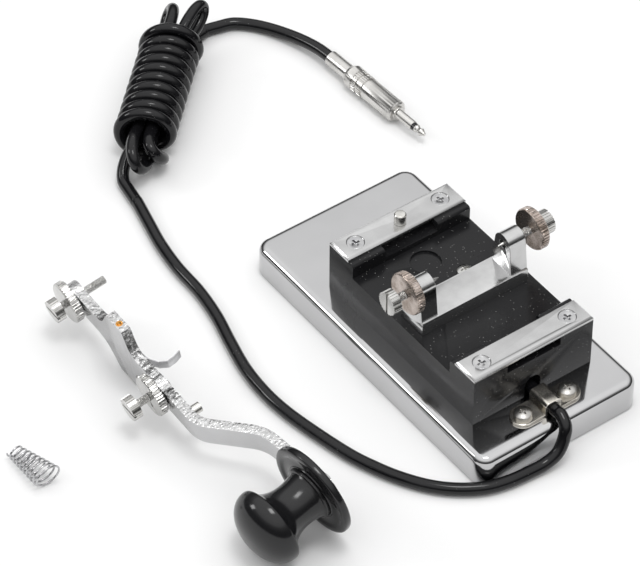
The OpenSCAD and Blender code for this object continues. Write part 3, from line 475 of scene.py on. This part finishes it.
# solid, piece, body, material, rounding of its edges
dressed = [
    ("insulator_block", "insulatorBlock", "base", "blackMoulding", 0.28),
    ("front_contact_plate", "frontPlate", "base", "satinChrome", 0.22),
    ("rear_stop_plate", "rearPlate", "base", "satinChrome", 0.22),
    ("plate_screws", "plateScrews", "base", "zincSteel", 0.2),
    ("block_screws", "blockScrews", "base", "zincSteel", 0.07),
    ("contact_stud", "contactStud", "base", "contactMetal", 0.12),
    ("stud_nut", "studNut", "base", "zincSteel", 0.1),
    ("bracket", "bracketCasting", "base", "brushedChrome", 0.12),
    ("bracket_screws", "bracketScrews", "base", "zincSteel", 0.07),
    ("leaf_terminal", "leafTerminal", "base", "brightNickel", 0.07),
    ("contact_lead", "contactLead", "base", "redSleeving", 0),
    ("bracket_lead", "bracketLead", "base", "whiteSleeving", 0),
    ("cord_clamp", "cordClamp", "base", "warmNickel", 0.15),
    ("clamp_screws", "clampScrews", "base", "screwNickel", 0.07),
    ("clamp_nuts", "clampNuts", "base", "zincSteel", 0.1),
    ("cord_inner", "cordInner", "base", "cordJacket", 0),
    ("base_pad", "basePad", "base", "rubberPad", 0.3),
    ("plug_sleeve", "plugSleeve", "base", "plugNickel", 0.1),
    ("plug_shell", "plugShell", "base", "plugNickel", 0),
    ("plug_shaft", "plugShaft", "base", "plugNickel", 0.08),
    ("plug_ring", "plugRing", "base", "knobBlack", 0.05),
    ("plug_tip", "plugTip", "base", "plugNickel", 0),
    ("left_pivot_nut", "leftPivotNut", "left_nut", "tarnishedNickel", 0),
    ("left_pivot_screw", "leftPivotScrew", "left_screw", "brightNickel", 0),
    ("right_pivot_nut", "rightPivotNut", "right_nut", "tarnishedNickel", 0),
    ("right_pivot_screw", "rightPivotScrew", "right_screw", "brightNickel", 0),
    ("pivot_bushes", "pivotBushes", "lever_bushes", "turnedBrass", 0),
    ("lever_contact", "leverContact", "lever", "contactMetal", 0.12),
    ("leaf_spring", "leafSpring", "lever", "springWire", 0),
    ("leaf_screw", "leafScrew", "lever", "zincSteel", 0.07),
    ("knob_screw", "knobScrew", "lever", "zincSteel", 0.07),
    ("gap_nut", "gapNut", "rear_nut", "brightNickel", 0),
    ("gap_screw", "gapScrew", "rear_screw", "brightNickel", 0),
    ("tension_nut", "tensionNut", "front_nut", "brightNickel", 0),
    ("tension_screw", "tensionScrew", "front_screw", "brightNickel", 0),
]
for node, name, body, material, edge in dressed:
    dress(node, name, body, material, edge)
print("pieces dressed:", len(dressed))


# Chromed base shell
base = {"width": 67.4, "length": 129.6, "height": 12.2, "corner": 5.5, "cornerSteps": 24,
        "edge": 2.8, "edgeSteps": 8, "wall": 4, "rim": 0.4, "rimSteps": 3, "rimOver": 60,
        "smooth": 50}


def makeBase():
    w, l, h = base["width"], base["length"], base["height"]
    bpy.ops.object.select_all(action="DESELECT")
    bpy.ops.mesh.primitive_cube_add(size=1, location=(0, 0, h / 2 * mm))
    obj = bpy.context.object
    obj.name = "baseShell"
    obj.scale = (w * mm, l * mm, h * mm)
    only(obj)
    bpy.ops.object.transform_apply(location=True, rotation=True, scale=True)
    bpy.ops.object.mode_set(mode="EDIT")
    pick(obj, "EDGE", lambda e: abs(e.verts[0].co.z - e.verts[1].co.z) > mm)
    bpy.ops.mesh.bevel(offset=base["corner"] * mm, segments=base["cornerSteps"], affect="EDGES")
    pick(obj, "FACE", lambda f: f.normal.z > 0.9)
    bpy.ops.mesh.region_to_loop()
    bpy.ops.mesh.bevel(offset=base["edge"] * mm, segments=base["edgeSteps"], affect="EDGES")
    pick(obj, "FACE", lambda f: f.normal.z < -0.9)
    bpy.ops.mesh.inset(thickness=base["wall"] * mm)
    bpy.ops.mesh.extrude_region_move(
        TRANSFORM_OT_translate={"value": (0, 0, (h - base["wall"]) * mm)})
    bpy.ops.mesh.select_all(action="SELECT")
    bpy.ops.mesh.normals_make_consistent(inside=False)
    bpy.ops.object.mode_set(mode="OBJECT")
    roundEdges(obj, base["rim"], base["rimSteps"], base["rimOver"])
    paint(obj, materials["mirrorChrome"])
    smoothOver(obj, base["smooth"])
    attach(obj, "base")
    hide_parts("base_shell")


makeBase()
print("base done")


# Lever bar, a casting with two lugs, that lies on its side
lever = {"turn": (100.5, 0.2, 88.3), "at": (99.4, -45.4, 14.65), "thick": 3.6, "top": 1.7,
         "half": 4.4, "lugHalf": 14.5, "gapReach": 31, "springReach": 21.5, "contactReach": 36.2,
         "knobReach": 89, "knobSeat": -16.5, "lean": 6.9, "bendStart": 40, "bendDown": 13,
         "bendBack": 15, "slope": 40, "bushRadius": 1.25, "bushLong": 4, "boss": 5, "bossHigh": 0.5,
         "hole": 1.55, "leafAt": -3, "rearEnd": 5.6, "frontEnd": 6, "tip": 0.4,
         "endAngles": (8, 25, 42, 60, 90), "bossSides": 64, "bossUnder": 0.01, "through": 10,
         "blindHole": 1.05, "blindTop": 1.2, "bushPlay": 0.03, "edge": 0.35, "edgeSteps": 3,
         "edgeOver": 40, "smooth": 30, "sideways": 0.55, "endways": 0.75,
         # stretches along the bar whose flanks get painted shade and painted highlights over their
         # pits
         "pittedPaintedLight": ((4, 17), (26, 32))}
leverPlace = (Matrix.Translation(Vector(lever["at"]) * mm)
              @ Euler([radians(v) for v in lever["turn"]], "XYZ").to_matrix().to_4x4())
knobSeat = (Matrix.Translation((lever["knobReach"] * mm, 0, lever["knobSeat"] * mm))
            @ Matrix.Rotation(radians(lever["lean"]), 4, "Y"))


def barLevels():
    # top and underside at a place along the bar: level, sloping down, then with the knob's lean
    slope, lean = radians(lever["slope"]), radians(lever["lean"])
    r1, r2, thick = lever["bendDown"], lever["bendBack"], lever["thick"]
    c1 = (lever["bendStart"], lever["top"] - r1)
    out = (c1[0] + r1 * sin(slope), c1[1] + r1 * cos(slope))
    seat = (lever["knobReach"], lever["knobSeat"])
    down, end = (cos(slope), -sin(slope)), (cos(lean), -sin(lean))
    gap = (seat[0] - out[0], seat[1] - out[1])
    far = (gap[0] * end[1] - gap[1] * end[0]) / (down[0] * end[1] - down[1] * end[0])
    cut = r2 * tan((slope - lean) / 2)
    into = (out[0] + down[0] * (far - cut), out[1] + down[1] * (far - cut))
    c2 = (into[0] + r2 * sin(slope), into[1] + r2 * cos(slope))

    def level(s, off):
        # height of the line lying off below the top line, at s
        if s <= c1[0]:
            return lever["top"] - off
        a = c1[0] + (r1 - off) * sin(slope)
        if s <= a:
            return c1[1] + sqrt((r1 - off)**2 - (s - c1[0])**2)
        b = c2[0] - (r2 + off) * sin(slope)
        if s <= b:
            return c1[1] + (r1 - off) * cos(slope) - (s - a) * tan(slope)
        c = c2[0] - (r2 + off) * sin(lean)
        if s <= c:
            return c2[1] - sqrt((r2 + off)**2 - (s - c2[0])**2)
        return c2[1] - (r2 + off) * cos(lean) - (s - c) * tan(lean)

    return lambda s: (level(s, 0), level(s, thick))


def barWidths():
    # half widths along the bar: round rear end, pivot lugs, round front end
    half, lug = lever["half"], lever["lugHalf"]
    rear = -lever["gapReach"] - lever["rearEnd"]
    front = lever["knobReach"] + lever["frontEnd"]
    ends = [(half * (1 - cos(radians(a))), max(lever["tip"], half * sin(radians(a))))
            for a in lever["endAngles"]]
    rows = [(rear + back, wide) for back, wide in ends]
    rows += [(-17, half), (-15, half + 0.2), (-13, half + 0.9), (-11.4, half + 2),
             (-10, half + 3.6), (-8.8, half + 5.4), (-7.6, half + 7.4), (-6.6, half + 9.1),
             (-5.8, lug), (3.7, lug), (4.2, lug - 1.4), (4.9, half + 5.2), (5.6, half + 3),
             (6.6, half + 1.4), (8, half + 0.4), (10, half), (17, half), (26, half), (32, half),
             (lever["bendStart"], half)]
    # close together round the two bends
    rows += [(s, half) for s in (*range(41, 49), 50, 54, 58, 59.5, *range(61, 71), 74, 80, 86)]
    return rows + [(front - back, wide) for back, wide in ends[::-1]]


def drawBar():
    # one section drawn from the rear end to the front one, resized at each row
    levels, rows = barLevels(), barWidths()
    bpy.ops.object.select_all(action="DESELECT")
    s, half = rows[0]
    top, low = levels(s)
    bpy.ops.mesh.primitive_plane_add(size=1, location=(0, 0, 0), rotation=(0, pi / 2, 0))
    obj = bpy.context.object
    obj.name = "leverBar"
    obj.scale = ((top - low) * mm, 2 * half * mm, 1)
    obj.location = (s * mm, 0, (top + low) / 2 * mm)
    only(obj)
    bpy.ops.object.transform_apply(location=True, rotation=True, scale=True)
    bpy.ops.object.mode_set(mode="EDIT")
    bpy.ops.mesh.select_all(action="SELECT")
    for nextS, nextHalf in rows[1:]:
        nextTop, nextLow = levels(nextS)
        centre = ((nextTop + nextLow) - (top + low)) / 2
        bpy.ops.mesh.extrude_region_move(
            TRANSFORM_OT_translate={"value": ((nextS - s) * mm, 0, centre * mm)})
        bpy.ops.transform.resize(
            value=(1, nextHalf / half, (nextTop - nextLow) / (top - low)),
            center_override=(nextS * mm, 0, (nextTop + nextLow) / 2 * mm))
        s, half, top, low = nextS, nextHalf, nextTop, nextLow
    bpy.ops.mesh.select_all(action="SELECT")
    bpy.ops.mesh.normals_make_consistent(inside=False)
    bpy.ops.object.mode_set(mode="OBJECT")
    return obj


def atReach(reach):
    return Matrix.Translation((reach * mm, 0, 0))


def addBosses(obj):
    under = lever["top"] - lever["thick"] - lever["bossUnder"]
    over = lever["top"] + lever["bossHigh"]
    for reach in (-lever["gapReach"], lever["springReach"]):
        boss = rod(lever["boss"], under, over, atReach(reach), lever["bossSides"])
        modify(obj, "BOOLEAN", operation="UNION", object=boss, solver="EXACT")
        bpy.data.objects.remove(boss)


def boreBar(obj):
    # thumbscrew bores, blind holes from below, bush bores in the lugs, and the knob's bore
    past = lever["through"]
    for reach in (-lever["gapReach"], lever["springReach"]):
        cutAway(obj, rod(lever["hole"], -past, past, atReach(reach)))
    for reach in (lever["contactReach"], lever["leafAt"]):
        cutAway(obj, rod(lever["blindHole"], -past, lever["blindTop"], atReach(reach)))
    bush, outside = lever["bushRadius"] + lever["bushPlay"], lever["lugHalf"]
    for sign in (-1, 1):
        turn = Matrix.Rotation(-sign * pi / 2, 4, "X")
        cutAway(obj, rod(bush, outside - lever["bushLong"], outside + lever["bushLong"], turn))
    cutAway(obj, rod(lever["hole"], -past, past, knobSeat))


def paintBar(obj):
    # polished top and underside, cast flanks in a lighter tone that is painted light, and their
    # pitted stretches with painted shade and painted highlights
    paint(obj, materials["castTop"])
    # the flanks' lighter tone is painted light
    obj.data.materials.append(materials["castSidePaintedLight"])
    obj.data.materials.append(materials["castPittedPaintedLight"])
    for face in obj.data.polygons:
        at, facing = face.center.x / mm, face.normal
        flank = abs(facing.y) > lever["sideways"] or abs(facing.x) > lever["endways"]
        # the pitted stretches take painted shade and painted highlights
        pittedPaintedLight = any(low < at < high for low, high in lever["pittedPaintedLight"])
        face.material_index = (2 if pittedPaintedLight else 1) if flank else 0


def makeBar():
    obj = drawBar()
    addBosses(obj)
    roundEdges(obj, lever["edge"], lever["edgeSteps"], lever["edgeOver"])
    boreBar(obj)
    paintBar(obj)
    smoothOver(obj, lever["smooth"])
    place(obj, leverPlace)
    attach(obj, "lever")
    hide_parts("lever_bar")


makeBar()
print("lever bar done")


# Knob and its skirt, turned shapes on the lever's front end
knob = {"skirt": 17, "skirtThick": 2.8, "hub": 10.2, "rim": 13.6, "rimHigh": 18.1, "dome": 8.8,
        "neck": 7.9, "neckHigh": 7, "steps": 128, "smooth": 40}
knobPlace = leverPlace @ knobSeat


def makeSkirt():
    # a disc with a rounded rim, and a shallow step round its hub
    r, t, hub = knob["skirt"], knob["skirtThick"], knob["hub"]
    skirt = lathe("knobSkirt", [
        (0, 0), (r - 0.9, 0), (r - 0.5, 0.08), (r - 0.2, 0.3), (r, 0.8), (r, t - 0.8),
        (r - 0.12, t - 0.4), (r - 0.4, t - 0.12), (r - 0.8, t), (r - 2.3, t), (r - 2.6, t - 0.1),
        (r - 3.3, t - 0.42), (r - 3.7, t - 0.5), (hub + 0.25, t - 0.5), (hub + 0.1, t - 0.42),
        (hub, t - 0.1), (hub - 0.1, t), (0, t)], knob["steps"])
    paint(skirt, materials["knobBlack"])
    smoothOver(skirt, knob["smooth"])
    place(skirt, knobPlace)
    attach(skirt, "lever")
    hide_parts("knob_skirt")


def makeBall():
    # foot, narrowing neck, flare up to the rim, and dome
    neck, at, rim, high = knob["neck"], knob["neckHigh"], knob["rim"], knob["rimHigh"]
    outline = [(0, 0), (9.4, 0), (9.6, 0.2), (9.6, 1), (9.45, 1.2), (9, 1.35)]
    outline += [(neck + 0.9 * (1 - k / 10)**2, 1.4 + (at - 1.4) * k / 10) for k in range(1, 11)]
    for k in range(1, 21):
        f = k / 20
        outline.append((neck + (rim - 1 - neck) * (1 - sqrt(1 - f * f * 0.96)) / 0.8,
                        at + (high - 1.6 - at) * f))
    outline += [(rim - 0.55, high - 1.45), (rim - 0.2, high - 1.15), (rim - 0.04, high - 0.8),
                (rim, high - 0.4), (rim, high)]
    outline += [(rim * cos(radians(a))**0.9, high + knob["dome"] * sin(radians(a)))
                for a in range(4, 90, 4)]
    outline.append((0, high + knob["dome"]))
    ball = lathe("knobBall", outline, knob["steps"])
    place(ball, Matrix.Translation((0, 0, knob["skirtThick"] * mm)))
    paint(ball, materials["knobBlack"])
    smoothOver(ball, knob["smooth"])
    place(ball, knobPlace)
    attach(ball, "lever")
    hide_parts("knob")


makeSkirt()
makeBall()
print("knob done")


# Return spring, a cone that lies on the ground
coil = {"at": (148.2, -19.8), "turns": 9, "big": 10.4, "small": 5.6, "long": 20, "wire": 0.7,
        "slant": 0.09, "lift": 0.05, "steps": 32, "roundness": 3}


def makeSpring():
    wire, long = coil["wire"], coil["long"] - coil["wire"]
    r0, r1 = (coil["big"] - wire) / 2, (coil["small"] - wire) / 2
    tilt = asin((r0 - r1) / long)
    points = []
    count = coil["turns"] * coil["steps"]
    for i in range(count + 1):
        k = i / count
        turn, r, y = k * coil["turns"] * 2 * pi, r0 + (r1 - r0) * k, -long * k
        x, z = r * cos(turn), r * sin(turn)
        points.append((coil["at"][0] + x - coil["slant"] * y,
                       coil["at"][1] + y * cos(tilt) + z * sin(tilt),
                       r0 + wire / 2 + coil["lift"] + z * cos(tilt) + y * sin(tilt)))
    obj = drawTube("returnSpring", points, wire / 2, materials["springWire"], coil["roundness"])
    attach(obj, "coil_spring")
    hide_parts("return_spring")


makeSpring()
print("spring done")


# Floor, light and surroundings
studio = {"floor": 3, "floorLevel": -0.0002, "floorColour": (0.93, 0.93, 0.93),
          "floorRough": 0.8, "floorShine": 0.1,
          "lights": {"overBox": {"at": (0.03, 0.17, 1.5), "size": (0.42, 0.42), "power": 4.5},
                     "sideBox": {"at": (0.99, -0.86, 0.74), "size": (0.34, 0.34), "power": 2.6}},
          "air": ((0, 0.05), (0.30, 0.10), (0.50, 0.40), (0.60, 0.98), (0.84, 1.25))}


def makeFloor():
    bpy.ops.object.select_all(action="DESELECT")
    bpy.ops.mesh.primitive_plane_add(size=studio["floor"], location=(0, 0, studio["floorLevel"]))
    floor = bpy.context.object
    floor.name = "studioFloor"
    material = bpy.data.materials.new("paleFloor")
    material.use_nodes = True
    shader = material.node_tree.nodes["Principled BSDF"]
    shader.inputs["Base Color"].default_value = (*studio["floorColour"], 1)
    shader.inputs["Roughness"].default_value = studio["floorRough"]
    shader.inputs["Specular IOR Level"].default_value = studio["floorShine"]
    paint(floor, material)


def makeLights():
    # each one faces the middle of the base
    for name, box in studio["lights"].items():
        data = bpy.data.lights.new(name, "AREA")
        data.energy = box["power"]
        data.shape = "RECTANGLE"
        data.size, data.size_y = box["size"]
        light = bpy.data.objects.new(name, data)
        bpy.context.scene.collection.objects.link(light)
        light.location = box["at"]
        light.rotation_euler = Vector(box["at"]).to_track_quat("Z", "Y").to_euler()


def makeAir():
    # (height, strength) of the air, from dark at the horizon to bright overhead
    world = bpy.data.worlds.new("studioAir")
    bpy.context.scene.world = world
    world.use_nodes = True
    tree = world.node_tree
    where = tree.nodes.new("ShaderNodeTexCoord")
    split = tree.nodes.new("ShaderNodeSeparateXYZ")
    tree.links.new(where.outputs["Generated"], split.inputs["Vector"])
    ramp = tree.nodes.new("ShaderNodeValToRGB")
    stops = ramp.color_ramp.elements
    while len(stops) < len(studio["air"]):
        stops.new(0.5)
    for stop, (height, strength) in zip(stops, studio["air"]):
        stop.position = height
        stop.color = (strength, strength, strength, 1)
    tree.links.new(split.outputs["Z"], ramp.inputs["Fac"])
    tree.links.new(ramp.outputs["Color"], tree.nodes["Background"].inputs["Color"])
    bpy.context.scene.view_settings.view_transform = "Standard"


makeFloor()
makeLights()
makeAir()
print("studio set")
